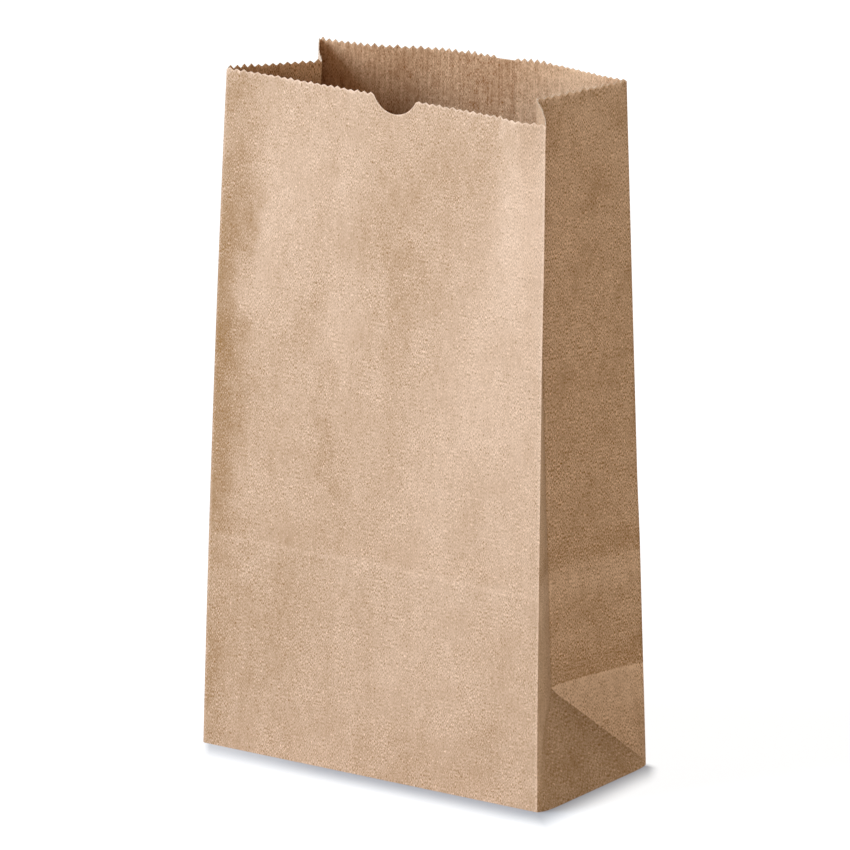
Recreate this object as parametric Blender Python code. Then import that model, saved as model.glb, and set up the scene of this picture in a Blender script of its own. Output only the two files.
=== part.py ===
# Brown paper lunch bag, standing open on its block bottom
# One folded sheet of kraft paper: a tube with two side gussets and a glued back seam,
# closed below by two side flaps and two long flaps folded under, and cut with a saw-tooth
# edge and a thumb notch at the mouth. Metres, +Z up, the front panel faces -Y.
import math

import bmesh
import bpy
from mathutils import Vector

# Size of the standing bag, measured on its folds
PANEL_WIDTH = 0.1524
BAG_DEPTH = 0.0804
BAG_HEIGHT = 0.2710
PAPER = 0.0003

# Mouth: the panels draw together a little, and the bag leans to the front
MOUTH_FRONT_WIDTH = 0.1440
MOUTH_BACK_WIDTH = 0.1402
MOUTH_FRONT_Y = -0.0401
MOUTH_BACK_Y = 0.0293
MOUTH_BACK_SHIFT = -0.0032
MOUTH_TILT = 0.030
FRONT_BOW = 0.0040
BACK_BOW = 0.0090

# Side gussets: how far the middle crease lies inside the side edges
GUSSET_LOW = 0.0180
GUSSET_MOUTH = 0.0222
CREASE_DROP_LOW = 0.0034
CREASE_DROP_MOUTH = 0.0015
SIDE_SWELL = 0.0018
SWELL_REACH = 0.0020

# Cross creases left by the folded bottom
VALLEY_DEPTH = 0.0013
VALLEY_REACH = 0.0120
STACK_CREASE_ABOVE_DEPTH = 0.0055
STACK_CREASE_DEPTH = 0.0005

# Saw-tooth cut, thumb notch and glued seam
TOOTH_PITCH = 0.0032
TOOTH_HEIGHT = 0.0013
NOTCH_WIDTH = 0.0214
NOTCH_DEPTH = 0.0068
NOTCH_OFFSET = 0.0032
NOTCH_STEPS = 10
SEAM_WIDTH = 0.0095
SEAM_OFFSET = 0.0075
SEAM_EDGE = 0.0001
SEAM_EASE = 0.0080

# Bottom flaps: how far each one reaches past the middle of the bag
FLAP_PAST_MIDDLE = 0.0100
FLOOR_LAYERS = 4

# Facets
WIDE_COLUMNS = 14
FOLD_STEPS = (0.10, 0.26, 0.44, 0.62, 0.80, 1.0)
WALL_ROWS = 9
BAND_BELOW_NOTCH = 0.0050
SHARP_FOLD = math.radians(12)

HALF_DEPTH = BAG_DEPTH / 2
HALF_WIDTH = PANEL_WIDTH / 2
FLOOR_TOP = FLOOR_LAYERS * PAPER
FLAP_LENGTH = HALF_DEPTH + FLAP_PAST_MIDDLE
STACK_CREASE = BAG_DEPTH + STACK_CREASE_ABOVE_DEPTH

FRONT, RIGHT_FRONT, RIGHT_BACK, BACK, LEFT_BACK, LEFT_FRONT = range(6)


def mix(start, end, share):
    return start + (end - start) * share


def dent(height, centre, reach):
    """A fold's cross profile: 1 on the fold, 0 at its reach."""
    return max(0.0, 1.0 - abs(height - centre) / reach)


# The four upright folds at a height along the paper

def fold_corner(back, right, height):
    share = height / BAG_HEIGHT
    side = 1 if right else -1
    if back:
        x = side * mix(HALF_WIDTH, MOUTH_BACK_WIDTH / 2, share) + MOUTH_BACK_SHIFT * share
        return Vector((x, mix(HALF_DEPTH, MOUTH_BACK_Y, share), height))
    x = side * mix(HALF_WIDTH, MOUTH_FRONT_WIDTH / 2, share)
    return Vector((x, mix(-HALF_DEPTH, MOUTH_FRONT_Y, share), height))


# Points of the sheet's middle layer, panel by panel

def wide_panel_point(back, share, height):
    first = fold_corner(back, back, height)
    last = fold_corner(back, not back, height)
    point = first.lerp(last, share)
    swelling = 4 * share * (1 - share)
    rise = (height / BAG_HEIGHT) ** 2
    if back:
        point.y += BACK_BOW * swelling * rise
        point.y -= VALLEY_DEPTH * swelling * dent(height, HALF_DEPTH, VALLEY_REACH)
        point.y -= STACK_CREASE_DEPTH * swelling * dent(height, STACK_CREASE, VALLEY_REACH)
    else:
        point.y += FRONT_BOW * swelling * rise
        point.y += STACK_CREASE_DEPTH * swelling * dent(height, STACK_CREASE, VALLEY_REACH)
    return point


def gusset_point(right, back, inward, height):
    """inward is 0 on the upright fold and 1 on the gusset's middle crease."""
    front = fold_corner(False, right, height)
    rear = fold_corner(True, right, height)
    along = 1 - inward / 2 if back else inward / 2
    point = front.lerp(rear, along)
    # Below the fold triangle's tip the sheet turns on the two diagonals
    from_fold = inward * HALF_DEPTH
    folded = min(from_fold, height, HALF_DEPTH) / HALF_DEPTH
    above = max(0.0, height - HALF_DEPTH) / (BAG_HEIGHT - HALF_DEPTH)
    depth = mix(GUSSET_LOW, GUSSET_MOUTH, above) * folded
    swell = SIDE_SWELL * (1 - math.exp(-from_fold / SWELL_REACH))
    depth -= swell * max(0.0, 1 - height / HALF_DEPTH) ** 2
    swelling = 4 * inward * (1 - inward)
    depth += STACK_CREASE_DEPTH * swelling * dent(height, STACK_CREASE, VALLEY_REACH)
    if back:
        depth += VALLEY_DEPTH * swelling * dent(height, HALF_DEPTH, VALLEY_REACH)
    point.x += -depth if right else depth
    point.z -= mix(CREASE_DROP_LOW, CREASE_DROP_MOUTH, above) * folded
    return point


def sheet_point(panel, share, height):
    """share runs along the panel, counter-clockwise seen from above."""
    if panel in (FRONT, BACK):
        point = wide_panel_point(panel == BACK, share, height)
    else:
        right = panel in (RIGHT_FRONT, RIGHT_BACK)
        back = panel in (RIGHT_BACK, LEFT_BACK)
        inward = share if panel in (RIGHT_FRONT, LEFT_BACK) else 1 - share
        point = gusset_point(right, back, inward, height)
    point.z += MOUTH_TILT * point.y * height / BAG_HEIGHT
    return point


# The two faces of the sheet

def plan_normal(panel, share, height, step):
    here = sheet_point(panel, share, height)
    there = sheet_point(panel, share + step, height)
    along = (there - here) * (1 if step > 0 else -1)
    return Vector((along.y, -along.x, 0)).normalized()


def face_point(panel, share, height, offset):
    """The sheet's point moved out (or in, offset below 0) square to the sheet."""
    step = 0.01
    after = plan_normal(panel, share, height, step)
    if share < step:
        before = plan_normal((panel - 1) % 6, 1.0, height, -step)
    else:
        before = plan_normal(panel, share, height, -step)
    normal = (before + after).normalized()
    return sheet_point(panel, share, height) + normal * (offset / normal.dot(after))


def seam_span():
    """The overlap's two edges as shares of the back panel, which runs from +X to -X."""
    middle = 0.5 - SEAM_OFFSET / PANEL_WIDTH
    half = SEAM_WIDTH / PANEL_WIDTH / 2
    return middle - half, middle + half


def face_offset(panel, share, outside):
    """Half the paper, or the lapped layers of the glued back seam."""
    plain = PAPER / 2 if outside else -PAPER / 2
    if panel != BACK:
        return plain
    inner_edge, outer_edge = seam_span()
    ease = SEAM_EASE / PANEL_WIDTH
    if outside and inner_edge <= share <= outer_edge:
        return plain + PAPER
    if inner_edge - ease < share < inner_edge:
        return plain + PAPER * (share - inner_edge + ease) / ease
    return plain


# Columns and rows of the tube

def flap_cut_shares():
    """Where the side flaps' cut edges meet the wide panels."""
    reach = (HALF_WIDTH - FLAP_LENGTH) / PANEL_WIDTH
    return 0.5 - reach, 0.5 + reach


def wide_shares(back):
    marks = [column / WIDE_COLUMNS for column in range(WIDE_COLUMNS)]
    special = list(flap_cut_shares())
    if back:
        inner_edge, outer_edge = seam_span()
        edge = SEAM_EDGE / PANEL_WIDTH
        ease = SEAM_EASE / PANEL_WIDTH
        special += [inner_edge - ease, inner_edge - edge, inner_edge, outer_edge, outer_edge + edge]
    spare = 0.3 / WIDE_COLUMNS
    kept = [mark for mark in marks if mark == 0 or min(abs(mark - other) for other in special) > spare]
    return sorted(kept + special)


def fold_distances():
    """Distances from an upright fold, equal to the first rows' heights, so a
    diagonal fold runs from corner to corner of the facets."""
    span = HALF_DEPTH - FLOOR_TOP
    return [0.0, FLOOR_TOP] + [FLOOR_TOP + span * step for step in FOLD_STEPS]


def tube_columns():
    outward = [distance / HALF_DEPTH for distance in fold_distances()[:-1]]
    inward = [1 - distance / HALF_DEPTH for distance in reversed(fold_distances()[1:])]
    shares = {
        FRONT: wide_shares(False), RIGHT_FRONT: outward, RIGHT_BACK: inward,
        BACK: wide_shares(True), LEFT_BACK: outward, LEFT_FRONT: inward,
    }
    return [(panel, share) for panel in range(6) for share in shares[panel]]


def tube_rows():
    top = BAG_HEIGHT - NOTCH_DEPTH - BAND_BELOW_NOTCH
    rows = fold_distances()
    rows += [HALF_DEPTH + VALLEY_REACH, STACK_CREASE - VALLEY_REACH, STACK_CREASE]
    first = STACK_CREASE + VALLEY_REACH
    rows += [mix(first, top, row / WALL_ROWS) for row in range(WALL_ROWS + 1)]
    return rows


# The cut edge of the mouth

def teeth(length):
    """(share, rise) of roots and tips along a cut edge, without its last root."""
    count = max(2, round(length / TOOTH_PITCH))
    marks = []
    for tooth in range(count):
        marks.append((tooth / count, 0.0))
        marks.append(((tooth + 0.5) / count, TOOTH_HEIGHT))
    return marks


def notch_marks():
    half = NOTCH_WIDTH / 2
    radius = (half ** 2 + NOTCH_DEPTH ** 2) / (2 * NOTCH_DEPTH)
    marks = []
    for step in range(NOTCH_STEPS + 1):
        across = mix(-half, half, step / NOTCH_STEPS)
        drop = math.sqrt(radius ** 2 - across ** 2) - (radius - NOTCH_DEPTH)
        marks.append((0.5 + (NOTCH_OFFSET + across) / PANEL_WIDTH, -max(drop, 0.0)))
    return marks


def seam_marks():
    """The two layers' teeth lie out of step, which fills the cut to half its height."""
    inner_edge, outer_edge = seam_span()
    edge = SEAM_EDGE / PANEL_WIDTH
    shares = (inner_edge - edge, inner_edge, outer_edge, outer_edge + edge)
    return [(share, TOOTH_HEIGHT / 2) for share in shares]


def mouth_marks():
    marks = []
    for panel in range(6):
        length = PANEL_WIDTH if panel in (FRONT, BACK) else HALF_DEPTH
        cut = teeth(length)
        extra = {FRONT: notch_marks(), BACK: seam_marks()}.get(panel, [])
        if extra:
            spare = TOOTH_PITCH / 5 / length
            low = extra[0][0] - spare
            high = extra[-1][0] + spare
            cut = sorted([mark for mark in cut if not low < mark[0] < high] + extra)
        marks += [(panel, share, rise) for share, rise in cut]
    return marks


# Mesh helpers

def add_face(mesh, *corners):
    kept = []
    for corner in corners:
        if corner not in kept:
            kept.append(corner)
    if len(kept) > 2:
        mesh.faces.new(kept)


def bridge(mesh, low, high):
    """Triangles between two chains of (key, vertex), walked by rising key."""
    i = 0
    j = 0
    while i < len(low) - 1 or j < len(high) - 1:
        low_left = i < len(low) - 1
        high_left = j < len(high) - 1
        together = low[i][1] == high[j][1] and high_left
        if low_left and not together and (not high_left or low[i + 1][0] <= high[j + 1][0]):
            add_face(mesh, low[i][1], low[i + 1][1], high[j][1])
            i += 1
        else:
            add_face(mesh, low[i][1], high[j + 1][1], high[j][1])
            j += 1


def add_ring(mesh, columns, height, outside):
    ring = []
    for panel, share in columns:
        offset = face_offset(panel, share, outside)
        ring.append(mesh.verts.new(face_point(panel, share, height, offset)))
    return ring


def add_skin(mesh, columns, rings):
    """Two triangles a cell, cut the way the diagonal folds of the bottom run."""
    count = len(columns)
    for low, high in zip(rings, rings[1:]):
        for column in range(count):
            after = (column + 1) % count
            if columns[column][0] in (RIGHT_FRONT, LEFT_BACK):
                add_face(mesh, low[column], low[after], high[after])
                add_face(mesh, low[column], high[after], high[column])
            else:
                add_face(mesh, low[column], low[after], high[column])
                add_face(mesh, low[after], high[after], high[column])


def add_mouth(mesh, columns, outer_top, inner_top):
    marks = mouth_marks()
    edges = []
    for ring, outside in ((outer_top, True), (inner_top, False)):
        edge = []
        for panel, share, rise in marks:
            offset = face_offset(panel, share, outside)
            edge.append(mesh.verts.new(face_point(panel, share, BAG_HEIGHT + rise, offset)))
        low = [(panel + share, vertex) for (panel, share), vertex in zip(columns, ring)]
        high = [(panel + share, vertex) for (panel, share, _), vertex in zip(marks, edge)]
        bridge(mesh, low + [(6.0, ring[0])], high + [(6.0, edge[0])])
        edges.append(edge)
    outer, inner = edges
    for mark in range(len(marks)):
        after = (mark + 1) % len(marks)
        add_face(mesh, outer[mark], outer[after], inner[after], inner[mark])


# The bottom

def ring_part(columns, ring, first_panel, last_panel):
    """The ring's vertices from the start of one panel to the end of another."""
    part = [vertex for (panel, _), vertex in zip(columns, ring) if first_panel <= panel <= last_panel]
    end = next((i for i, (panel, _) in enumerate(columns) if panel == last_panel + 1), 0)
    return part + [ring[end]]


def cut_edge(start, end, outward):
    """Points along a flap's saw-tooth cut from start to end, without its ends."""
    marks = teeth((end - start).length)[1:]
    return [start.lerp(end, share) + outward * rise for share, rise in marks]


def keyed_by(chain, axis, sign):
    return [(sign * vertex.co[axis], vertex) for vertex in chain]


def add_underside(mesh, columns, ring):
    """The long back flap lies lowest, over the front flap, over the side flaps."""
    front = ring_part(columns, ring, FRONT, FRONT)
    right = ring_part(columns, ring, RIGHT_FRONT, RIGHT_BACK)
    back = ring_part(columns, ring, BACK, BACK)
    left = ring_part(columns, ring, LEFT_BACK, LEFT_FRONT)
    meet_x = HALF_WIDTH - HALF_DEPTH
    end_x = HALF_WIDTH - FLAP_LENGTH
    end_y = HALF_DEPTH - FLAP_LENGTH
    outline = [Vector((meet_x, 0, 0)), Vector((end_x, end_y, 0))]
    outline += cut_edge(outline[1], Vector((-end_x, end_y, 0)), Vector((0, -1, 0)))
    outline += [Vector((-end_x, end_y, 0)), Vector((-meet_x, 0, 0))]
    lowest = [mesh.verts.new(point) for point in outline]
    layer = Vector((0, 0, PAPER))
    above = [mesh.verts.new(point + layer) for point in outline]
    tips = [mesh.verts.new(outline[place] + 2 * layer) for place in (0, -1)]

    bridge(mesh, keyed_by(back, 0, -1), keyed_by([back[0]] + lowest + [back[-1]], 0, -1))
    front_edge = list(reversed(front))
    bridge(mesh, keyed_by(front_edge, 0, -1), keyed_by([front_edge[0]] + above + [front_edge[-1]], 0, -1))
    for place in range(len(outline) - 1):
        add_face(mesh, lowest[place], lowest[place + 1], above[place + 1], above[place])
    for side, tip, place in ((right, tips[0], 0), (left, tips[1], -1)):
        for start, end in zip(side, side[1:]):
            add_face(mesh, start, end, tip)
        back_corner = back[place]
        front_corner = front_edge[place]
        add_face(mesh, back_corner, lowest[place], above[place])
        add_face(mesh, back_corner, above[place], tip)
        add_face(mesh, front_corner, above[place], tip)


def add_side_flap(mesh, ring, start, end, outward):
    """A side flap on the floor, from its cut edge out to the wall. Returns the
    foot of the cut edge, from the ring's start vertex to its end vertex."""
    points = cut_edge(ring[start].co.copy(), ring[end].co.copy(), Vector((outward, 0, 0)))
    layer = Vector((0, 0, PAPER))
    foot = [ring[start]] + [mesh.verts.new(point) for point in points] + [ring[end]]
    lip = [ring[start]] + [mesh.verts.new(point + layer) for point in points] + [ring[end]]
    for step in range(len(foot) - 1):
        add_face(mesh, foot[step], foot[step + 1], lip[step + 1], lip[step])
    steps = (end - start) % len(ring)
    wall = [(step / steps, ring[(start + step) % len(ring)]) for step in range(steps + 1)]
    bridge(mesh, wall, [(step / (len(lip) - 1), vertex) for step, vertex in enumerate(lip)])
    return foot


def add_fan(mesh, around):
    middle = mesh.verts.new(sum((vertex.co for vertex in around), Vector()) / len(around))
    for index, vertex in enumerate(around):
        add_face(mesh, middle, vertex, around[(index + 1) % len(around)])


def add_floor(mesh, columns, ring):
    """Inside, the side flaps lie on top, and their cut edges stand up one layer."""
    low, high = flap_cut_shares()
    place = {column: index for index, column in enumerate(columns)}
    front_left = place[FRONT, low]
    front_right = place[FRONT, high]
    back_right = place[BACK, low]
    back_left = place[BACK, high]
    right_foot = add_side_flap(mesh, ring, front_right, back_right, -1)
    left_foot = add_side_flap(mesh, ring, back_left, front_left, 1)
    front_wall = ring[front_left + 1:front_right]
    back_wall = ring[back_right + 1:back_left]
    add_fan(mesh, front_wall + right_foot + back_wall + left_foot)


def kraft_paper():
    material = bpy.data.materials.new("kraft_paper")
    material.use_nodes = True
    shader = material.node_tree.nodes["Principled BSDF"]
    shader.inputs["Base Color"].default_value = (0.52, 0.35, 0.22, 1)
    shader.inputs["Roughness"].default_value = 0.85
    shader.inputs["Metallic"].default_value = 0.0
    return material


def build_bag():
    columns = tube_columns()
    rows = tube_rows()
    mesh = bmesh.new()
    outer = [add_ring(mesh, columns, height, True) for height in rows]
    inner = [add_ring(mesh, columns, height, False) for height in rows[1:]]
    add_skin(mesh, columns, outer)
    add_skin(mesh, columns, inner)
    add_mouth(mesh, columns, outer[-1], inner[-1])
    add_underside(mesh, columns, outer[0])
    add_floor(mesh, columns, inner[0])
    bmesh.ops.recalc_face_normals(mesh, faces=mesh.faces)
    data = bpy.data.meshes.new("paper_bag")
    mesh.to_mesh(data)
    mesh.free()
    data.materials.append(kraft_paper())
    data.shade_smooth()
    data.set_sharp_from_angle(angle=SHARP_FOLD)
    bag = bpy.data.objects.new("paper_bag", data)
    bpy.context.scene.collection.objects.link(bag)
    return bag


for item in list(bpy.data.objects):
    bpy.data.objects.remove(item)

build_bag()
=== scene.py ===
import math
import bpy
from mathutils import Matrix, Vector


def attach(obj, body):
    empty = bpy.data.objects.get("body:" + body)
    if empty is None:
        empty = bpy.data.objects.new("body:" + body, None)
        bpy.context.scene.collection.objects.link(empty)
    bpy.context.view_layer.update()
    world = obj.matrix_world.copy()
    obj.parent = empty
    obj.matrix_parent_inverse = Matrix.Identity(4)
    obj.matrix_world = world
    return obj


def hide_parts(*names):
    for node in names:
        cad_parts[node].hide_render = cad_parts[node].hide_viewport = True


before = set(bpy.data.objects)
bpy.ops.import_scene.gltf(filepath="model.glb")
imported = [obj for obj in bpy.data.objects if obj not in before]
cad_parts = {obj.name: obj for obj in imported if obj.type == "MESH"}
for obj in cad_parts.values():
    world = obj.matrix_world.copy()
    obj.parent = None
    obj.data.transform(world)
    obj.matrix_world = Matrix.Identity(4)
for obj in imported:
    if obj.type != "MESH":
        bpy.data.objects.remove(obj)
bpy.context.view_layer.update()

# The bag is one flat sheet of kraft paper that a Geometry Nodes tree folds up.
# Metres, +Z up, the front panel faces -Y. On the sheet, u runs round the bag from
# the middle of the front panel and v runs up from the fold at its foot.

print("camera")

cameraView = {
    "aim": (-0.0011, -0.0028, 0.1333),
    "azimuth": 32.09,       # degrees, from the front panel towards +X
    "elevation": 14.68,
    "roll": 1.31,
    "distance": 3.1032,
    "lens": 338.8,          # millimetres, as the sensor
    "sensor": 36,
    "farthest": 50,         # metres
}


def makeCamera(view):
    azimuth = math.radians(view["azimuth"])
    elevation = math.radians(view["elevation"])
    roll = math.radians(view["roll"])
    level = math.cos(elevation)
    back = Vector((math.sin(azimuth) * level, -math.cos(azimuth) * level, math.sin(elevation)))
    right = Vector((math.cos(azimuth), math.sin(azimuth), 0))
    up = back.cross(right)
    turnedRight = right * math.cos(roll) + up * math.sin(roll)
    turnedUp = up * math.cos(roll) - right * math.sin(roll)
    axes = Matrix((turnedRight, turnedUp, back)).transposed().to_4x4()
    data = bpy.data.cameras.new("camera")
    data.sensor_width = view["sensor"]
    data.lens = view["lens"]
    data.clip_end = view["farthest"]
    camera = bpy.data.objects.new("camera", data)
    camera.matrix_world = Matrix.Translation(Vector(view["aim"]) + back * view["distance"]) @ axes
    bpy.context.scene.collection.objects.link(camera)
    bpy.context.scene.camera = camera


makeCamera(cameraView)


# Helpers for node trees

class Field:    # a node socket that can be written in a formula
    def __init__(self, tree, socket):
        self.tree = tree
        self.socket = socket

    def __add__(self, other):
        return calc(self.tree, "ADD", self, other)

    def __sub__(self, other):
        return calc(self.tree, "SUBTRACT", self, other)

    def __rsub__(self, other):
        return calc(self.tree, "SUBTRACT", other, self)

    def __mul__(self, other):
        return calc(self.tree, "MULTIPLY", self, other)

    def __truediv__(self, other):
        return calc(self.tree, "DIVIDE", self, other)

    def __rtruediv__(self, other):
        return calc(self.tree, "DIVIDE", other, self)

    __radd__ = __add__
    __rmul__ = __mul__


def feed(tree, socket, value):
    if isinstance(value, Field):
        tree.links.new(value.socket, socket)
    else:
        socket.default_value = value


def addNode(tree, kind, inputs=None, **settings):
    node = tree.nodes.new(kind)
    count = len(tree.nodes)
    node.location = (count // 10 * 220, -(count % 10) * 190)
    for name, value in settings.items():
        setattr(node, name, value)
    for name, value in (inputs or {}).items():
        socket = next(socket for socket in node.inputs if name in (socket.name, socket.identifier))
        feed(tree, socket, value)
    return node


def calc(tree, operation, *values, clamp=False):
    node = addNode(tree, "ShaderNodeMath", operation=operation, use_clamp=clamp)
    for socket, value in zip(node.inputs, values):
        feed(tree, socket, value)
    return Field(tree, node.outputs[0])


def least(first, second):
    return calc(first.tree, "MINIMUM", first, second)


def most(first, second):
    return calc(first.tree, "MAXIMUM", first, second)


def size(field):    # its value without the sign
    return calc(field.tree, "ABSOLUTE", field)


def share(field):    # held between 0 and 1
    return calc(field.tree, "ADD", field, 0.0, clamp=True)


def eased(field):    # held between 0 and 1, with a soft start and end
    part = share(field)
    return part * part * (3.0 - 2.0 * part)


def mix(start, end, part):
    return start + (end - start) * part


def dent(place, centre, reach):    # 1 on a fold line, 0 at its reach
    return most(1.0 - size(place - centre) / reach, 0.0)


def between(place, start, rampUp, end, rampDown):    # 1 inside, with a soft ramp at each end
    return eased((place - start) / rampUp) * eased((end - place) / rampDown)


print("flat sheet")

sheetSettings = {
    "panelWidth": 0.1524,
    "bagDepth": 0.0804,
    "bagHeight": 0.2710,
    "paper": 0.0003,
    "wallShare": 0.9,           # of the paper's thickness, so that stacked layers stay apart
    "sharpAngle": 11,           # degrees, from which a fold is shaded as an edge
    "flapLength": 0.0502,
    "toothPitch": 0.0032,
    "wallRows": 90,             # above the fold triangles of the gussets
    "flapRows": (0.0005, 0.0013, 0.0025, 0.0040, 0.0100, 0.0180, 0.0260, 0.0340, 0.0420, 0.0470),
    "notchWidth": 0.0200,
    "notchDepth": 0.0061,
    "notchOffset": 0.0046,      # of the notch's middle, towards +X
    "notchSteps": 14,
    "lapWidth": 0.0088,
    "lapOffset": 0.0112,        # of the lap's middle, towards +X
    "lapSteps": 6,
}


def sheetFolds(settings):
    # where the front folds, the gussets' middle creases and the back folds lie in u
    half = settings["panelWidth"] / 2
    depth = settings["bagDepth"]
    return half, half + depth / 2, half + depth


def sheetEnds(settings):
    # u of the inner layer's cut edge and of the outer layer's, on the back panel
    half, _, backFold = sheetFolds(settings)
    near = settings["lapOffset"] - settings["lapWidth"] / 2
    far = settings["lapOffset"] + settings["lapWidth"] / 2
    return -(backFold + half + far), backFold + half - near


def toothedMarks(start, end, pitch):
    # (u, tip) at each root and tip of the saw-tooth, without the last root
    count = max(1, round((end - start) / pitch))
    step = (end - start) / count / 2
    return [(start + step * mark, mark % 2) for mark in range(2 * count)]


def plainMarks(start, end, count):
    return [(start + (end - start) * mark / count, 0) for mark in range(count)]


def notchMarks(settings):
    # even steps along the arc of the thumb notch
    half = settings["notchWidth"] / 2
    radius = (half ** 2 + settings["notchDepth"] ** 2) / (2 * settings["notchDepth"])
    reach = math.asin(half / radius)
    steps = settings["notchSteps"]
    turns = [reach * (2 * step / steps - 1) for step in range(steps)]
    return [(settings["notchOffset"] + radius * math.sin(turn), 0) for turn in turns]


def sheetColumns(settings):
    frontFold, crease, backFold = sheetFolds(settings)
    start, end = sheetEnds(settings)
    pitch = settings["toothPitch"]
    lap, lapSteps = settings["lapWidth"], settings["lapSteps"]
    notchStart = settings["notchOffset"] - settings["notchWidth"] / 2
    notchEnd = settings["notchOffset"] + settings["notchWidth"] / 2
    marks = plainMarks(start, start + lap, lapSteps)
    marks += toothedMarks(start + lap, -backFold, pitch)
    marks += toothedMarks(-backFold, -crease, pitch)
    marks += toothedMarks(-crease, -frontFold, pitch)
    marks += toothedMarks(-frontFold, notchStart, pitch)
    marks += notchMarks(settings)
    marks += toothedMarks(notchEnd, frontFold, pitch)
    marks += toothedMarks(frontFold, crease, pitch)
    marks += toothedMarks(crease, backFold, pitch)
    marks += toothedMarks(backFold, end - lap, pitch)
    marks += plainMarks(end - lap, end, lapSteps)
    return marks + [(end, 0)]


def sheetRows(settings):
    # the first rows are as high as the gusset's columns are wide, so that its
    # diagonal folds run from corner to corner
    half = settings["bagDepth"] / 2
    steps = 2 * round(half / settings["toothPitch"])
    rows = [-settings["flapLength"]] + [-row for row in reversed(settings["flapRows"])]
    rows += [half * step / steps for step in range(steps)]
    count = settings["wallRows"]
    span = settings["bagHeight"] - half
    return rows + [half + span * row / count for row in range(count + 1)]


def makeFlatSheet(settings):
    columns = sheetColumns(settings)
    rows = sheetRows(settings)
    frontFold, crease, backFold = sheetFolds(settings)
    half = settings["bagDepth"] / 2
    wide = len(columns)
    points = [(u, v, 0) for v in rows for u, _ in columns]
    faces = []
    for row in range(len(rows) - 1):
        middle = (rows[row] + rows[row + 1]) / 2
        for column in range(wide - 1):
            a = row * wide + column
            b, c, d = a + 1, a + wide + 1, a + wide
            place = (columns[column][0] + columns[column + 1][0]) / 2
            if not (frontFold < abs(place) < backFold and 0 < middle < half):
                faces.append((a, b, c, d))
            elif (place > 0) == (abs(place) < crease):
                faces += [(a, b, c), (a, c, d)]
            else:
                faces += [(a, b, d), (b, c, d)]
    mesh = bpy.data.meshes.new("flatSheet")
    mesh.from_pydata(points, [], faces)
    tip = mesh.attributes.new("tip", "FLOAT", "POINT")
    for column, (_, tooth) in enumerate(columns):
        tip.data[column].value = -tooth
        tip.data[(len(rows) - 1) * wide + column].value = tooth
    place = mesh.uv_layers.new(name="sheet")
    for loop in mesh.loops:
        place.data[loop.index].uv = points[loop.vertex_index][:2]
    sheet = bpy.data.objects.new("paper_bag_sheet", mesh)
    bpy.context.scene.collection.objects.link(sheet)
    return sheet


print("folding tree")

foldSettings = {
    "footFrontWidth": 0.1540,
    "footBackWidth": 0.1548,
    "mouthFrontWidth": 0.1438,
    "mouthBackWidth": 0.1404,
    "mouthFrontShift": 0.0007,
    "mouthBackShift": -0.0037,
    "mouthFrontY": -0.0401,
    "mouthBackY": 0.0293,
    "mouthTilt": 0.0300,            # rise of the rim from front to back
    "rimSlopeFront": -0.0014,       # lift of the rim's right end over its middle
    "rimSlopeBack": 0.0012,
    "leftBelly": 0.0009,
    "rightPinch": 0.0004,           # how far the right folds are drawn in between foot and mouth
    "frontBow": 0.0013,
    "frontDip": 0.0018,             # the mouth's small outward bulge beside its right corner
    "backBow": 0.0086,
    "gussetLow": 0.0180,
    "gussetMouth": 0.0222,
    "gussetBow": 0.0008,
    "creaseDropLow": 0.0034,
    "creaseDropLeft": 0.0002,       # at the mouth
    "creaseDropRight": 0.0018,
    "sideSwell": 0.0024,
    "swellReach": 0.0030,
    "valleyDepth": 0.0021,
    "valleyReach": 0.0120,
    "stackCrease": 0.0859,          # height of the crease left by the folded bottom
    "stackCreaseDepth": 0.0010,
    "toothHeight": 0.0017,
    "toothSpread": 0.45,
    "frontToothShare": 0.62,        # of that height on the front panel
    "wornToothShare": 0.45,         # of that height on the back panel's right part
    "wornGussetShare": 0.35,        # of that wear on the right gusset
    "wornStart": 0.35,              # from -1 at the left fold to 1 at the right one
    "wornRamp": 0.20,
    "notchBand": 0.0220,            # the rows below the notch that give way to it
    "lapEase": 0.0080,              # past the lap, until both layers are one again
    "lapPush": 1.05,                # of the paper, how far the lap's inner layer is pushed in
    "lapTipPush": 0.30,             # of that push, right at its cut edge
    "lapTipReach": 0.0020,
    "flapEase": 0.0040,             # from the foot fold to where a flap lies on its own level
    "frontFlapLevel": 2.2,          # in papers above the back flap
    "sideFlapLevel": 3.4,
    "foldGap": 0.0001,              # keeps a fold's own points with the gusset
    "foldCalm": 0.0140,             # beside a fold, where the paper stays flat
    "footCalm": 0.0160,
    "waveHeight": 0.0006,
    "waveLength": 0.060,
    "crinkleHeight": 0.00012,
    "crinkleLength": 0.012,
    "rimFlutter": 0.00025,
    "flutterLength": 0.007,
    "flutterReach": 0.009,          # below the rim
    "crinkleSeedStep": 3.0,         # sets each noise apart from the waves' own
    "flutterSeedStep": 7.0,
    "seed": 4,
}

# Where a soft shape lies: its start and ramp, its end and ramp. Across a panel these
# are shares from -1 to 1, up the bag from 0 to 1.
foldReaches = {
    "frontBow": (-1.0, 0.24, 0.92, 1.30),
    "backBow": (-0.74, 0.50, 1.0, 0.60),
    "frontPinch": (0.0, 0.15, 0.85, 0.25),
    "backPinch": (0.32, 0.12),
    "frontDip": (0.85, 0.15),       # its middle and its reach to each side
}


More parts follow.
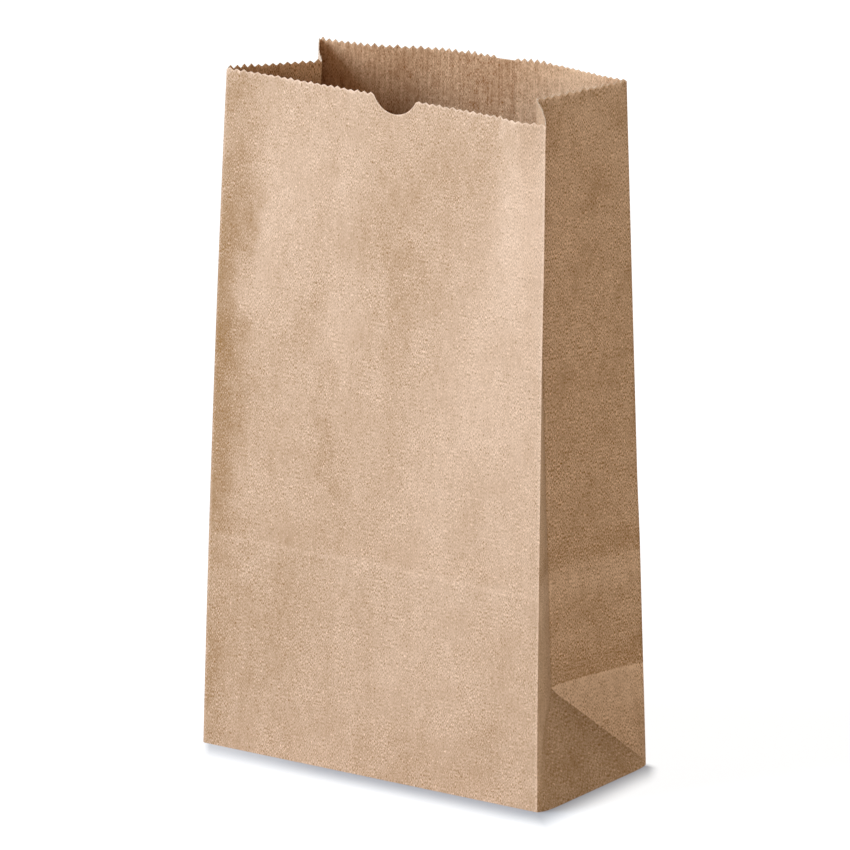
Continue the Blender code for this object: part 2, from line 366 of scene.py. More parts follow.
def newTree(name, numbers):
    tree = bpy.data.node_groups.new(name, "GeometryNodeTree")
    tree.interface.new_socket(name="Geometry", in_out="INPUT", socket_type="NodeSocketGeometry")
    tree.interface.new_socket(name="Geometry", in_out="OUTPUT", socket_type="NodeSocketGeometry")
    for label in numbers:
        whole = label == "seed"
        kind = "NodeSocketInt" if whole else "NodeSocketFloat"
        tree.interface.new_socket(name=label, in_out="INPUT", socket_type=kind)
    tree.interface.new_socket(name="material", in_out="INPUT", socket_type="NodeSocketMaterial")
    start = addNode(tree, "NodeGroupInput")
    fields = {socket.name: Field(tree, socket) for socket in start.outputs if socket.name}
    return tree, fields


def closeTree(tree, geometry, material):
    real = addNode(tree, "GeometryNodeRealizeInstances", {"Geometry": geometry})
    painted = addNode(tree, "GeometryNodeSetMaterial", {"Geometry": Field(tree, real.outputs[0]),
                                                       "Material": material})
    end = addNode(tree, "NodeGroupOutput")
    tree.links.new(painted.outputs[0], end.inputs[0])


def addTree(piece, tree, numbers, material):
    modifier = piece.modifiers.new(tree.name, "NODES")
    modifier.node_group = tree
    values = dict(numbers, material=material)
    for item in tree.interface.items_tree:
        if item.in_out == "INPUT" and item.name in values:
            modifier[item.identifier] = values[item.name]


def xyz(tree, x, y, z):
    node = addNode(tree, "ShaderNodeCombineXYZ", {"X": x, "Y": y, "Z": z})
    return Field(tree, node.outputs[0])


def parts(tree, vector):
    node = addNode(tree, "ShaderNodeSeparateXYZ", {"Vector": vector})
    return [Field(tree, socket) for socket in node.outputs]


def unevenness(tree, length, seed):    # smooth noise from -1 to 1 over the folded shape
    place = addNode(tree, "GeometryNodeInputPosition")
    node = addNode(tree, "ShaderNodeTexNoise", {"Vector": Field(tree, place.outputs[0]), "W": seed,
                                                "Detail": 1.0}, noise_dimensions="4D")
    tree.links.new((1.0 / length).socket, node.inputs["Scale"])
    return Field(tree, node.outputs[0]) * 2.0 - 1.0


def moved(tree, geometry, way, distance):    # the sheet, pushed along a direction
    step = addNode(tree, "ShaderNodeVectorMath", {"Vector": way, "Scale": distance}, operation="SCALE")
    node = addNode(tree, "GeometryNodeSetPosition", {"Geometry": geometry,
                                                    "Offset": Field(tree, step.outputs[0])})
    return Field(tree, node.outputs[0])


def notchCut(tree, f, across, front):    # how far the mouth is cut back for the thumb
    half = f["notchWidth"] / 2.0
    radius = (half * half + f["notchDepth"] * f["notchDepth"]) / (f["notchDepth"] * 2.0)
    offMiddle = across * f["panelWidth"] / 2.0 - f["notchOffset"]
    chord = calc(tree, "SQRT", most(radius * radius - offMiddle * offMiddle, 0.0))
    return most(chord - radius + f["notchDepth"], 0.0) * front


def makeFoldTree(numbers, reaches):
    tree, f = newTree("foldSheet", numbers)
    flat = addNode(tree, "GeometryNodeInputNamedAttribute", {"Name": "sheet"}, data_type="FLOAT_VECTOR")
    u, v, _ = parts(tree, Field(tree, flat.outputs[0]))
    halfWidth = f["panelWidth"] / 2.0
    halfDepth = f["bagDepth"] / 2.0

    # where a point of the flat sheet lies on the bag
    fromMiddle = size(u)
    side = calc(tree, "SIGN", u)
    pastFrontFold = least(most(fromMiddle - halfWidth, 0.0), f["bagDepth"])
    backness = pastFrontFold / f["bagDepth"]
    fromFold = least(pastFrontFold, f["bagDepth"] - pastFrontFold)
    inward = fromFold / halfDepth
    pastBackFold = most(fromMiddle - halfWidth - f["bagDepth"], 0.0)
    across = side * (least(fromMiddle / halfWidth, 1.0) - pastBackFold / halfWidth)
    front = calc(tree, "LESS_THAN", fromMiddle, halfWidth - f["foldGap"])
    back = calc(tree, "GREATER_THAN", pastBackFold, f["foldGap"])
    wide = front + back

    # height along the paper, with the saw-tooth cut and the thumb notch
    tip = addNode(tree, "GeometryNodeInputNamedAttribute", {"Name": "tip"}, data_type="FLOAT")
    uneven = addNode(tree, "FunctionNodeRandomValue", {"Seed": f["seed"]}, data_type="FLOAT")
    torn = 1.0 - f["toothSpread"] * Field(tree, uneven.outputs[1])
    torn = torn * mix(1.0, f["frontToothShare"], front)
    wearAndHighlight = (back + (1.0 - wide) * f["wornGussetShare"]) * eased((across - f["wornStart"]) / f["wornRamp"])
    torn = torn * mix(1.0, f["wornToothShare"], wearAndHighlight)
    tooth = Field(tree, tip.outputs[0]) * f["toothHeight"] * torn
    rimRun = share((v - f["bagHeight"] + f["notchBand"]) / f["notchBand"])
    cutHeight = v + tooth - notchCut(tree, f, across, front) * rimRun
    height = most(cutHeight, 0.0)
    flap = most(0.0 - cutHeight, 0.0)
    rise = height / f["bagHeight"]
    riseSquared = rise * rise
    midRise = rise * (1.0 - rise) * 4.0

    # the four upright folds lean in towards the mouth
    frontWidth = mix(f["footFrontWidth"], f["mouthFrontWidth"], rise)
    backWidth = mix(f["footBackWidth"], f["mouthBackWidth"], rise)
    x = across * mix(frontWidth, backWidth, backness) / 2.0
    x = x + mix(f["mouthFrontShift"], f["mouthBackShift"], backness) * rise
    x = x + least(across, 0.0) * midRise * f["leftBelly"]
    backStart, backRamp = reaches["backPinch"]
    pinched = mix(between(rise, *reaches["frontPinch"]), eased((rise - backStart) / backRamp), backness)
    x = x - most(across, 0.0) * pinched * f["rightPinch"]
    frontY = mix(0.0 - halfDepth, f["mouthFrontY"], rise)
    backY = mix(halfDepth, f["mouthBackY"], rise)
    y = mix(frontY, backY, backness)

    # the wide panels bow and keep the cross creases of the folded bottom
    crown = (1.0 - across * across) * wide
    valley = dent(height, halfDepth, f["valleyReach"]) * f["valleyDepth"]
    stack = dent(height, f["stackCrease"], f["valleyReach"]) * f["stackCreaseDepth"]
    frontBow = between(across, *reaches["frontBow"]) * f["frontBow"] * rise
    frontDip = eased(dent(across, *reaches["frontDip"])) * f["frontDip"] * riseSquared * rise
    backBow = between(across, *reaches["backBow"]) * f["backBow"] * riseSquared
    y = y + front * (frontBow - frontDip + crown * stack)
    y = y + back * (backBow - crown * (valley + stack))

    # the gussets fold in along their middle and, low down, along two diagonals
    folded = least(least(fromFold, height), halfDepth) / halfDepth
    above = most(height - halfDepth, 0.0) / (f["bagHeight"] - halfDepth)
    belly = inward * (1.0 - inward) * 4.0
    lowRun = most(1.0 - height / halfDepth, 0.0)
    fade = 1.0 - calc(tree, "EXPONENT", 0.0 - fromFold / f["swellReach"])
    depth = mix(f["gussetLow"], f["gussetMouth"], above) * folded
    depth = depth - f["sideSwell"] * fade * lowRun * lowRun
    full = most(1.0 - calc(tree, "POWER", size(inward * 2.0 - 1.0), 4.0), 0.0)
    depth = depth + stack * full
    depth = depth + valley * full * calc(tree, "GREATER_THAN", backness, 0.5)
    depth = depth - f["gussetBow"] * belly * riseSquared
    mouthDrop = mix(f["creaseDropLeft"], f["creaseDropRight"], share(side))
    drop = mix(f["creaseDropLow"], mouthDrop, above) * folded
    slope = mix(f["rimSlopeFront"], f["rimSlopeBack"], backness) * across
    z = height - drop + (f["mouthTilt"] * y + slope) * rise
    x = x - side * depth

    # below the foot the flaps turn under: back flap lowest, then front, then sides
    under = eased(flap / f["flapEase"])
    level = front * f["frontFlapLevel"] + (1.0 - wide) * f["sideFlapLevel"]
    x = x - across * flap
    y = y - (backness * 2.0 - 1.0) * flap * wide
    z = z + f["paper"] * (0.5 + level * under)
    place = addNode(tree, "GeometryNodeSetPosition", {"Geometry": f["Geometry"],
                                                     "Position": xyz(tree, x, y, z)})
    sheet = Field(tree, place.outputs[0])

    # the lap's inner layer, and the paper's own soft unevenness between the folds
    seated = mix(f["lapTipPush"], 1.0, share((u - f["lapTip"]) / f["lapTipReach"]))
    onLap = share((f["lapEnd"] - u) / f["lapEase"] + 1.0)
    lap = 0.0 - onLap * seated * f["paper"] * f["lapPush"]
    offFront = size(fromMiddle - halfWidth)
    offCrease = size(fromMiddle - halfWidth - halfDepth)
    offBack = size(fromMiddle - halfWidth - f["bagDepth"])
    offFold = least(least(offFront, offCrease), offBack)
    free = eased(offFold / f["foldCalm"]) * eased(height / f["footCalm"])
    wave = unevenness(tree, f["waveLength"], f["seed"]) * f["waveHeight"]
    crinkle = unevenness(tree, f["crinkleLength"], f["seed"] + f["crinkleSeedStep"]) * f["crinkleHeight"]
    flutter = unevenness(tree, f["flutterLength"], f["seed"] + f["flutterSeedStep"]) * f["rimFlutter"]
    nearRim = eased((v - f["bagHeight"]) / f["flutterReach"] + 1.0)
    lift = lap + (wave + crinkle) * free + flutter * nearRim
    normal = Field(tree, addNode(tree, "GeometryNodeInputNormal").outputs[0])
    closeTree(tree, moved(tree, sheet, normal, lift), f["material"])
    return tree


# Paper materials. The pattern follows the sheet's own u and v, in metres.

paperSurface = {
    "roughness": 0.88,
    "specular": 0.25,
    "mottleHeight": 0.00006,    # metres of bump for each size of mark
    "fibreHeight": 0.00003,
    "speckHeight": 0.00002,
    "streakHeight": 0.0001,
}

# each size of mark: wide and tall in metres, the noise's detail, and a shift of its own
grainMarks = {
    "cloud": (0.040, 0.090, 2.0, 3.1),
    "streak": (0.010, 0.050, 2.0, 8.7),
    "mottle": (0.0036, 0.0060, 3.0, 1.9),
    "patchy": (0.0150, 0.0180, 1.0, 4.4),
    "fibre": (0.00021, 0.00095, 2.0, 5.3),
    "speck": (0.0008, 0.0015, 1.0, 6.1),
    "hair": (0.0006, 0.0050, 1.0, 2.6),
    "wander": (0.022, 0.030, 2.0, 9.2),
    "innerFibre": (0.0011, 0.0260, 2.0, 7.7),
    "innerMottle": (0.0020, 0.0030, 2.0, 7.1),
    "outerFibre": (0.0006, 0.0080, 1.0, 3.7),
}


def newPaper(name, surface):
    material = bpy.data.materials.new(name)
    material.use_nodes = True
    shader = material.node_tree.nodes["Principled BSDF"]
    shader.inputs["Roughness"].default_value = surface["roughness"]
    shader.inputs["Specular IOR Level"].default_value = surface["specular"]
    return material, material.node_tree, shader


def grain(tree, place, mark):    # noise around 0 with marks of that size
    wide, tall, detail, shift = grainMarks[mark]
    scaled = addNode(tree, "ShaderNodeMapping", {"Vector": place, "Scale": (1 / wide, 1 / tall, 1),
                                                 "Location": (shift, shift * 0.37, 0)})
    node = addNode(tree, "ShaderNodeTexNoise", {"Vector": Field(tree, scaled.outputs[0]), "Scale": 1.0,
                                                "Detail": detail, "Roughness": 0.6}, noise_dimensions="2D")
    return Field(tree, node.outputs[0]) - 0.5


def blended(tree, first, second, part):
    node = addNode(tree, "ShaderNodeMix", {"Factor_Float": part, "A_Color": first, "B_Color": second},
                   data_type="RGBA")
    return Field(tree, next(socket for socket in node.outputs if socket.identifier == "Result_Color"))


paperLooks = {
    "outside": {"dark": (0.326, 0.182, 0.065, 1), "light": (0.962, 0.773, 0.635, 1)},
    "inside": {"dark": (0.280, 0.108, 0.025, 1), "light": (0.920, 0.652, 0.425, 1)},
    "torn": {"dark": (0.52, 0.34, 0.19, 1), "light": (1.0, 0.87, 0.71, 1)},
}

paperGrain = {
    "contrast": 0.62,
    "cloud": 0.22,          # how strongly each size of mark changes the tone
    "streak": 0.22,
    "mottle": 0.40,
    "patchy": 0.20,
    "fibre": 3.0,
    "innerFibre": 1.0,
    "innerMottle": 0.9,
    "innerCut": 0.40,
    "outerFibre": 0.28,
    "outerCut": 0.75,
    "darkSpeck": 0.80,
    "lightSpeck": 0.80,
    # how strongly the painted light and shade along the folds change the tone
    "foldShading": 0.50,
    "foldMottle": 1.2,      # how far the mottle breaks up the painted light and shade along the folds
    "fibrePatch": 1.6,      # and the patches the fibres
    "patchWander": 0.024,   # metres, how far the edges of lighter and darker places stray
    "patchRise": 2.0,       # times as far up and down, outside
    "cutReach": 0.0007,     # metres, the torn edge's pale line, partly the torn fibres' own colour and partly a painted highlight, and its frayed part
    "frayReach": 0.0016,
    "fray": 4.0,
}

specks = {
    "darkFrom": 0.23,       # how rare each kind is, as a place in its noise
    "hairFrom": 0.27,
    "lightFrom": 0.22,
    "crisp": 14.0,
    "hairShare": 0.5,
}

# how the shaded gussets differ from the wide panels
gussetGrain = {
    "edge": 0.0004,
    "fine": 1.0,
    "darkSpeck": -0.6,
    "lightSpeck": 1.4,
    # painted highlight: the cut edge's pale line, stronger on the shaded gussets
    "cut": 1.6,
    "mouthStart": 0.19,     # the paler stretch below the mouth
    "mouthReach": 0.05,
    "mouthTone": 0.12,
    "mouthPatchy": 3.0,
}

# soft lighter and darker places: middle, reach and lean in metres on the sheet. Outside they are partly
# the paper's own tone and partly painted light and shade of its soft dents and curves.
outsidePatches = [
    # these two: painted shade along the left fold, where the front panel curves back to it
    {"u": -0.0755, "v": 0.165, "wide": 0.0110, "tall": 0.086, "lean": 0.00, "tone": -0.62},
    {"u": -0.0750, "v": 0.028, "wide": 0.0065, "tall": 0.036, "lean": 0.00, "tone": -0.25},
    {"u": -0.0510, "v": 0.222, "wide": 0.0130, "tall": 0.034, "lean": 0.30, "tone": 0.18},
    {"u": -0.0560, "v": 0.188, "wide": 0.0060, "tall": 0.016, "lean": 0.20, "tone": 0.10},
    {"u": -0.0330, "v": 0.180, "wide": 0.0080, "tall": 0.030, "lean": 0.60, "tone": -0.14},
    {"u": -0.0160, "v": 0.215, "wide": 0.0060, "tall": 0.060, "lean": 0.05, "tone": 0.12},
    {"u": 0.0100, "v": 0.205, "wide": 0.0130, "tall": 0.036, "lean": -0.12, "tone": -0.22},
    {"u": 0.0330, "v": 0.246, "wide": 0.0120, "tall": 0.020, "lean": 0.10, "tone": -0.18},
    {"u": 0.0660, "v": 0.230, "wide": 0.0160, "tall": 0.042, "lean": 0.35, "tone": 0.20},
    {"u": 0.0760, "v": 0.215, "wide": 0.0120, "tall": 0.060, "lean": 0.00, "tone": 0.30},
    {"u": 0.0480, "v": 0.150, "wide": 0.0280, "tall": 0.060, "lean": 0.10, "tone": 0.15},
    {"u": 0.0250, "v": 0.110, "wide": 0.0080, "tall": 0.014, "lean": 0.00, "tone": 0.12},
    {"u": -0.0240, "v": 0.130, "wide": 0.0050, "tall": 0.024, "lean": -0.25, "tone": -0.20},
    {"u": -0.0680, "v": 0.100, "wide": 0.0160, "tall": 0.018, "lean": -0.60, "tone": -0.12},
    {"u": -0.0500, "v": 0.052, "wide": 0.0330, "tall": 0.034, "lean": 0.40, "tone": -0.20},
    # painted shade near the floor
    {"u": 0.0050, "v": 0.000, "wide": 0.0800, "tall": 0.032, "lean": 0.00, "tone": -0.10},
    {"u": 0.0470, "v": 0.015, "wide": 0.0090, "tall": 0.028, "lean": 0.20, "tone": -0.08},
    {"u": -0.0680, "v": 0.232, "wide": 0.0050, "tall": 0.016, "lean": -0.20, "tone": -0.10},
]
# inside, all painted light and shade: paler on the back panel's right part and by the rim of the gussets'
# front halves, darker in the back panel's middle
insideLightAndShade = [
    {"u": 0.1800, "v": 0.255, "wide": 0.0300, "tall": 0.060, "lean": 0.00, "tone": 0.42},
    {"u": -0.0960, "v": 0.262, "wide": 0.0180, "tall": 0.020, "lean": 0.00, "tone": 0.22},
    {"u": 0.2400, "v": 0.255, "wide": 0.0200, "tall": 0.060, "lean": 0.00, "tone": -0.16},
    {"u": 0.0960, "v": 0.262, "wide": 0.0180, "tall": 0.020, "lean": 0.00, "tone": 0.60},
    {"u": -0.2300, "v": 0.255, "wide": 0.0250, "tall": 0.060, "lean": 0.00, "tone": -0.16},
]


def patchTone(tree, u, v, patches):
    tone = 0.0
    for patch in patches:
        down = v - patch["v"]
        across = (u - patch["u"] - down * patch["lean"]) / patch["wide"]
        along = down / patch["tall"]
        tone = calc(tree, "EXPONENT", 0.0 - across * across - along * along) * patch["tone"] + tone
    return tone


# painted light and shade along the folds: how strongly each mark changes the tone
foldShadeStrengths = {
    "wearAndHighlight": 0.50,           # painted highlight on the upright folds' edge
    "shady": 0.35,          # painted shade: the dark line beside it
    "creaseShade": 0.60,           # painted shade in the gusset's middle crease
    "ridgeHighlight": 0.30,         # painted highlight: the pale line behind it
    "overFold": 0.45,       # painted shade over the bottom's cross fold, on the rear half
    "facet": 0.55,          # painted light: the pale facet under it
    "facetTop": 0.45,
    "triangle": 0.48,       # painted shade on the triangle between the slanted folds
    "triangleRear": 0.35,
    "triangleBend": 2.6,    # how its front edge curves down to the foot
    "strip": 0.16,          # painted light: the paler strip in front of it
    "stackRidge": 0.30,     # painted highlight: the pale line of the softer crease higher up
    "stackShade": 0.55,     # on the gussets, painted shade over that crease
    "stackBand": 0.68,      # and painted light: the pale band under it
    "foldEnd": 0.0008,      # metres over which marks above and below the cross fold meet
}

# where each painted mark of light and shade lies: metres past its fold, and metres to each side
foldLines = {
    "highlightFront": (-0.0004, 0.0008),
    "highlightBack": (0.0004, 0.0006),
    "shadyFront": (0.0006, 0.0006),
    "shadyBack": (-0.0006, 0.0006),
    "creaseShade": (0.0, 0.0007),
    "ridgeHighlight": (0.0012, 0.0008),
    "overFold": (0.0005, 0.0007),
    "overShade": (0.0040, 0.0160),
    "underFold": (-0.0006, 0.0009),
    "underShade": (0.0, 0.0200),
    "rearSlant": (0.0, 0.0080),
    "stackRidge": (-0.0008, 0.0016),
    "stackShade": (0.0050, 0.0090),
    "stackBand": (-0.0060, 0.0100),
}


def foldLine(place, fold, mark):
    offset, reach = foldLines[mark]
    return dent(place, fold + offset, reach)


def foldLightAndShade(tree, u, v, settings, shadeStrengths):
    # painted shade in the gusset's crease with a painted highlight behind it, and on the upright folds a
    # painted highlight with a painted dark line beside it
    frontFold, crease, backFold = sheetFolds(settings)
    half = settings["bagDepth"] / 2
    stack = foldSettings["stackCrease"]
    fromMiddle = size(u)
    wearAndHighlight = foldLine(fromMiddle, frontFold, "highlightFront") + foldLine(fromMiddle, backFold, "highlightBack")
    shady = foldLine(fromMiddle, frontFold, "shadyFront") + foldLine(fromMiddle, backFold, "shadyBack")
    upper = share((v - half) / shadeStrengths["foldEnd"])
    creaseShade = foldLine(fromMiddle, crease, "creaseShade") * upper
    ridgeHighlight = foldLine(fromMiddle, crease, "ridgeHighlight") * upper
    tone = wearAndHighlight * shadeStrengths["wearAndHighlight"] - shady * shadeStrengths["shady"] - creaseShade * shadeStrengths["creaseShade"] + ridgeHighlight * shadeStrengths["ridgeHighlight"]

    # the side's rear half: painted shade over the fold at the bottom's height and painted light on the
    # facet below it
    onSide = calc(tree, "GREATER_THAN", fromMiddle, frontFold)
    onSide = onSide * calc(tree, "LESS_THAN", fromMiddle, backFold)
    behind = calc(tree, "GREATER_THAN", fromMiddle, crease) * onSide
    nearTip = share(1.5 - (fromMiddle - crease) / (half * 0.55))
    overFold = foldLine(v, half, "overFold") * nearTip
    overFold = overFold + eased(foldLine(v, half, "overShade")) * upper * shadeStrengths["overFold"]
    slanted = fromMiddle - crease - (half - v)
    facet = calc(tree, "GREATER_THAN", slanted, 0.0) * (1.0 - upper)
    underFold = foldLine(v, half, "underFold") * 0.5 + shadeStrengths["facet"]
    underFold = underFold + foldLine(v, half, "underShade") * shadeStrengths["facetTop"]
    tone = tone + behind * (underFold * facet - overFold)

    # painted shade on the triangle between both slanted folds, darkest along the rear one, and painted
    # light on the strip in front of it
    beforeRear = share(slanted / -0.0004)
    frontEdge = calc(tree, "POWER", most(v, 0.0) / half, shadeStrengths["triangleBend"]) * half
    pastFront = share((fromMiddle - frontFold - frontEdge) / 0.0012)
    below = beforeRear * (1.0 - upper) * onSide
    shade = shadeStrengths["triangle"] + foldLine(slanted, 0.0, "rearSlant") * shadeStrengths["triangleRear"]
    tone = tone - below * pastFront * shade
    tone = tone + below * (1.0 - pastFront) * shadeStrengths["strip"]

    # painted light and shade at the crease left by the folded bottom: its pale line on every side, and on
    # the gussets the shade over it and the pale band under it
    ridge = foldLine(v, stack, "stackRidge") * shadeStrengths["stackRidge"]
    ridge = ridge - eased(foldLine(v, stack, "stackShade")) * shadeStrengths["stackShade"] * onSide
    return tone + ridge + foldLine(v, stack, "stackBand") * shadeStrengths["stackBand"] * onSide


def makePaper(name, look, marks, settings):
    material, tree, shader = newPaper(name, paperSurface)
    uvNode = addNode(tree, "ShaderNodeUVMap", uv_map="sheet")
    place = Field(tree, uvNode.outputs[0])
    u, v, _ = parts(tree, place)
    frontFold, _, backFold = sheetFolds(settings)
    kinds = ("cloud", "streak", "mottle", "patchy", "fibre", "speck", "hair")
    cloud, streak, mottle, patchy, fibre, speck, hair = [grain(tree, place, kind) for kind in kinds]
    edge = gussetGrain["edge"]
    onGusset = share((size(u) - frontFold) / edge) * share((backFold - size(u)) / edge)
    nearMouth = eased((v - gussetGrain["mouthStart"]) / gussetGrain["mouthReach"]) * onGusset
    darkSpeck = share((speck - specks["darkFrom"]) * specks["crisp"])
    darkSpeck = darkSpeck + share((hair - specks["hairFrom"]) * specks["crisp"]) * specks["hairShare"]
    darkSpeck = darkSpeck * (1.0 + onGusset * gussetGrain["darkSpeck"])
    lightSpeck = share((0.0 - speck - specks["lightFrom"]) * specks["crisp"])
    lightSpeck = lightSpeck * (1.0 + onGusset * gussetGrain["lightSpeck"])
    tone = 0.5 + cloud * marks["cloud"] + streak * marks["streak"] + nearMouth * gussetGrain["mouthTone"]
    tone = tone + patchy * marks["patchy"] * (1.0 + onGusset + nearMouth * gussetGrain["mouthPatchy"])
    fine = mottle * marks["mottle"] + fibre * marks["fibre"] * (1.0 + patchy * marks["fibrePatch"])
    tone = tone + fine * (1.0 + onGusset * gussetGrain["fine"])
    tone = tone - darkSpeck * marks["darkSpeck"] + lightSpeck * marks["lightSpeck"]
    rim = settings["bagHeight"]
    frayed = dent(v, rim, marks["frayReach"]) * share(mottle * marks["fray"])
    cut = dent(v, rim, marks["cutReach"]) + frayed
    wander = grain(tree, place, "wander") * marks["patchWander"]
    if name == "kraftInside":
        tone = tone + grain(tree, place, "innerFibre") * marks["innerFibre"]
        tone = tone + grain(tree, place, "innerMottle") * marks["innerMottle"]
        # painted light and shade on the inside
        tone = tone + patchTone(tree, u + wander, v, insideLightAndShade) + cut * marks["innerCut"]
    if name == "kraftOutside":
        # partly the paper's own tone, partly painted light and shade
        tone = tone + patchTone(tree, u + wander, v + wander * marks["patchRise"], outsidePatches)
        tone = tone + cut * (1.0 + onGusset * gussetGrain["cut"]) * marks["outerCut"]
        # painted light and shade along the folds
        folds = foldLightAndShade(tree, u, v, settings, foldShadeStrengths)
        tone = tone + folds * (1.0 + mottle * marks["foldMottle"]) * marks["foldShading"]
        tone = tone + grain(tree, place, "outerFibre") * marks["outerFibre"]
    part = share((tone - 0.5) * marks["contrast"] + 0.5)
    colour = blended(tree, look["dark"], look["light"], part)
    feed(tree, shader.inputs["Base Color"], colour)
    height = mottle * paperSurface["mottleHeight"] + fibre * paperSurface["fibreHeight"]
    height = height + speck * paperSurface["speckHeight"] + streak * paperSurface["streakHeight"]
    bump = addNode(tree, "ShaderNodeBump", {"Height": height, "Strength": 1.0, "Distance": 1.0})
    feed(tree, shader.inputs["Normal"], Field(tree, bump.outputs[0]))
    return material


print("bag")


def flattened(piece, name):    # the evaluated piece as a plain mesh, without its modifiers
    ready = piece.evaluated_get(bpy.context.evaluated_depsgraph_get())
    mesh = bpy.data.meshes.new_from_object(ready)
    bpy.data.objects.remove(piece)
    mesh.name = name
    plain = bpy.data.objects.new(name, mesh)
    bpy.context.scene.collection.objects.link(plain)
    return plain


def makeBag():
    outside = makePaper("kraftOutside", paperLooks["outside"], paperGrain, sheetSettings)
    inside = makePaper("kraftInside", paperLooks["inside"], paperGrain, sheetSettings)
    torn = makePaper("kraftCutEdge", paperLooks["torn"], paperGrain, sheetSettings)
    numbers = {key: sheetSettings[key] for key in ("panelWidth", "bagDepth", "bagHeight", "paper",
                                                   "notchWidth", "notchDepth", "notchOffset")}
    numbers.update(foldSettings)
    numbers["lapTip"] = sheetEnds(sheetSettings)[0]
    numbers["lapEnd"] = numbers["lapTip"] + sheetSettings["lapWidth"]
    sheet = makeFlatSheet(sheetSettings)
    addTree(sheet, makeFoldTree(numbers, foldReaches), numbers, outside)
    folded = flattened(sheet, "paper_bag_sheet")
    folded.data.materials.clear()
    for material in (outside, inside, torn):
        folded.data.materials.append(material)
    wall = folded.modifiers.new("wall", "SOLIDIFY")
    wall.thickness = sheetSettings["paper"] * sheetSettings["wallShare"]
    wall.offset = 0
    wall.material_offset = 1
    wall.material_offset_rim = 2
    bag = flattened(folded, "paper_bag_sheet")
    bag.data.shade_smooth()
    bag.data.set_sharp_from_angle(angle=math.radians(sheetSettings["sharpAngle"]))
    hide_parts("paper_bag")
    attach(bag, "root")
    print("bag triangles", sum(len(face.vertices) - 2 for face in bag.data.polygons))
    return bag


makeBag()


print("studio")

studioSettings = {
    "floorSize": 40.0,
    "floorColour": (0.80, 0.65, 0.47, 1),       # what the floor throws back on the bag
    "floorShade": (0.33, 0.34, 0.35, 1),
    "floorGlow": (0.86, 0.875, 0.895, 1),
    "paleReach": 1.5,                           # metres over which the far floor turns white
    "contactShade": (0.10, 0.12, 0.16, 1),      # painted shadow colour of the floor right beside the bag
    "contactInset": 0.001,                      # how far it reaches in under the foot
    "contactFront": {"reach": 0.0240, "strength": 0.87},
    "contactSide": {"reach": 0.0330, "strength": 0.92},
    "contactWay": (0.531, 0.847),               # x and -y of the way that this shadow falls
    "contactBlend": 0.004,                      # round the corners of the foot
    "contactRight": 0.006,                      # over which it ends past the rear right corner
    "contactLeft": 0.003,                       # over which it grows from the front left one,
    "contactLeftSlow": 0.045,                   # a share of it fast and the rest slowly
    "contactLeftShare": 0.7,
    "lampAim": (0, 0, 0.14),
    "key": {"place": (-1.30, -1.45, 1.25), "size": 1.3, "power": 50.4, "colour": (0.772, 0.869, 1.0)},
    "back": {"place": (0.05, 1.65, 1.25), "size": 1.2, "power": 14.5, "colour": (1.0, 0.86, 0.66)},
    "fill": {"place": (1.30, -1.80, 0.50), "size": 0.6, "power": 10.0, "colour": (1.0, 0.812, 0.632)},
    "worldColour": (1.0, 0.86, 0.68, 1),
    "worldStrength": 0.17,
}


def seenDirectly(tree):    # 1 for what the camera, a reflection or a transmission sees
    path = addNode(tree, "ShaderNodeLightPath")
    names = ("Is Camera Ray", "Is Glossy Ray", "Is Transmission Ray")
    camera, glossy, through = [Field(tree, path.outputs[name]) for name in names]
    return most(most(camera, glossy), through)


def mixedShaders(tree, part, first, second):
    node = addNode(tree, "ShaderNodeMixShader", {"Fac": part})
    tree.links.new(first, node.inputs[1])
    tree.links.new(second, node.inputs[2])
    return node.outputs[0]


def contactShadow(tree, settings):
    # a painted short soft shadow beside the foot, such as the back light would cast: how far a floor point
    # lies from the foot's front and right edges, along the way that the shadow falls
    ground = addNode(tree, "ShaderNodeTexCoord")
    x, y, _ = parts(tree, Field(tree, ground.outputs["Object"]))
    alongX, alongY = settings["contactWay"]
    halfWidth, halfDepth = foldSettings["footBackWidth"] / 2, sheetSettings["bagDepth"] / 2
    pastSide = (x - halfWidth) / alongX
    pastFront = (0.0 - y - halfDepth) / alongY
    front, side = settings["contactFront"], settings["contactSide"]
    near = eased(1.0 - most(pastSide / side["reach"], pastFront / front["reach"]))
    near = near * share(most(pastSide, pastFront) / settings["contactInset"] + 1.0)
    blend = settings["contactBlend"]
    strength = mix(side["strength"], front["strength"], share(pastFront / blend + 0.5))
    fromRight = (x - halfWidth) * alongY + (y - halfDepth) * alongX
    fromLeft = (x + halfWidth) * alongY + (y + halfDepth) * alongX
    leftEnd = mix(share(fromLeft / settings["contactLeftSlow"]), share(fromLeft / settings["contactLeft"]),
                  settings["contactLeftShare"])
    ends = eased(1.0 - fromRight / settings["contactRight"]) * leftEnd
    return near * strength * ends * share((halfDepth - y) / blend)


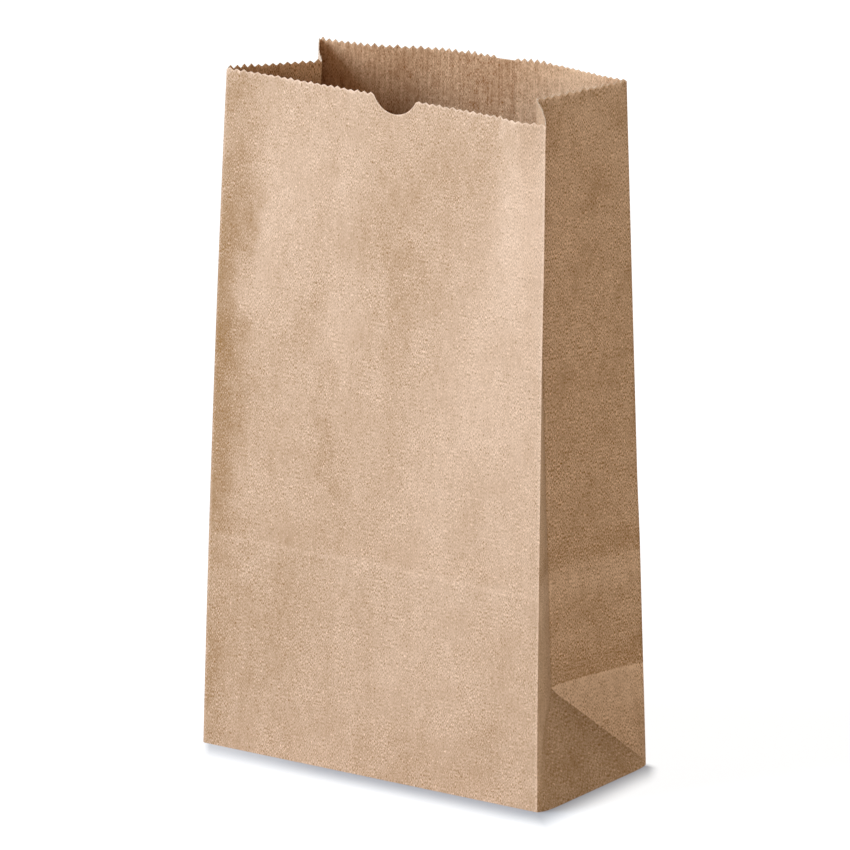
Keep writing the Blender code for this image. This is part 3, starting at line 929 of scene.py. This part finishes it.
def makeFloor(settings):
    half = settings["floorSize"] / 2
    corners = [(-half, -half, 0), (half, -half, 0), (half, half, 0), (-half, half, 0)]
    mesh = bpy.data.meshes.new("studio_floor")
    mesh.from_pydata(corners, [], [(0, 1, 2, 3)])
    floor = bpy.data.objects.new("studio_floor", mesh)
    bpy.context.scene.collection.objects.link(floor)
    material = bpy.data.materials.new("paleFloor")
    material.use_nodes = True
    tree = material.node_tree
    tree.nodes.remove(tree.nodes["Principled BSDF"])
    plain = addNode(tree, "ShaderNodeBsdfDiffuse", {"Color": settings["floorColour"]})
    shade = addNode(tree, "ShaderNodeBsdfDiffuse", {"Color": settings["floorShade"]})
    ground = addNode(tree, "ShaderNodeTexCoord")
    x, y, _ = parts(tree, Field(tree, ground.outputs["Object"]))
    away = calc(tree, "SQRT", x * x + y * y)
    pale = blended(tree, settings["floorGlow"], (1, 1, 1, 1), eased(away / settings["paleReach"] - 0.5))
    tint = blended(tree, pale, settings["contactShade"], contactShadow(tree, settings))
    glow = addNode(tree, "ShaderNodeEmission", {"Color": tint, "Strength": 1.0})
    lit = addNode(tree, "ShaderNodeAddShader")
    tree.links.new(shade.outputs[0], lit.inputs[0])
    tree.links.new(glow.outputs[0], lit.inputs[1])
    surface = mixedShaders(tree, seenDirectly(tree), plain.outputs[0], lit.outputs[0])
    tree.links.new(surface, tree.nodes["Material Output"].inputs["Surface"])
    mesh.materials.append(material)


def makeWorld(settings):
    world = bpy.data.worlds.new("studio")
    world.use_nodes = True
    bpy.context.scene.world = world
    tree = world.node_tree
    soft = tree.nodes["Background"]
    soft.inputs["Color"].default_value = settings["worldColour"]
    soft.inputs["Strength"].default_value = settings["worldStrength"]
    white = addNode(tree, "ShaderNodeBackground", {"Color": (1, 1, 1, 1), "Strength": 1.0})
    surface = mixedShaders(tree, seenDirectly(tree), soft.outputs[0], white.outputs[0])
    tree.links.new(surface, tree.nodes["World Output"].inputs["Surface"])


def addSoftbox(name, lamp, aim):
    data = bpy.data.lights.new(name, "AREA")
    data.size = lamp["size"]
    data.energy = lamp["power"]
    data.color = lamp["colour"]
    light = bpy.data.objects.new(name, data)
    toBag = Vector(aim) - Vector(lamp["place"])
    turn = toBag.to_track_quat("-Z", "Y").to_matrix().to_4x4()
    light.matrix_world = Matrix.Translation(lamp["place"]) @ turn
    bpy.context.scene.collection.objects.link(light)


makeFloor(studioSettings)
makeWorld(studioSettings)
for lamp in ("key", "back", "fill"):
    addSoftbox(lamp + "Light", studioSettings[lamp], studioSettings["lampAim"])
bpy.context.scene.view_settings.view_transform = "Standard"
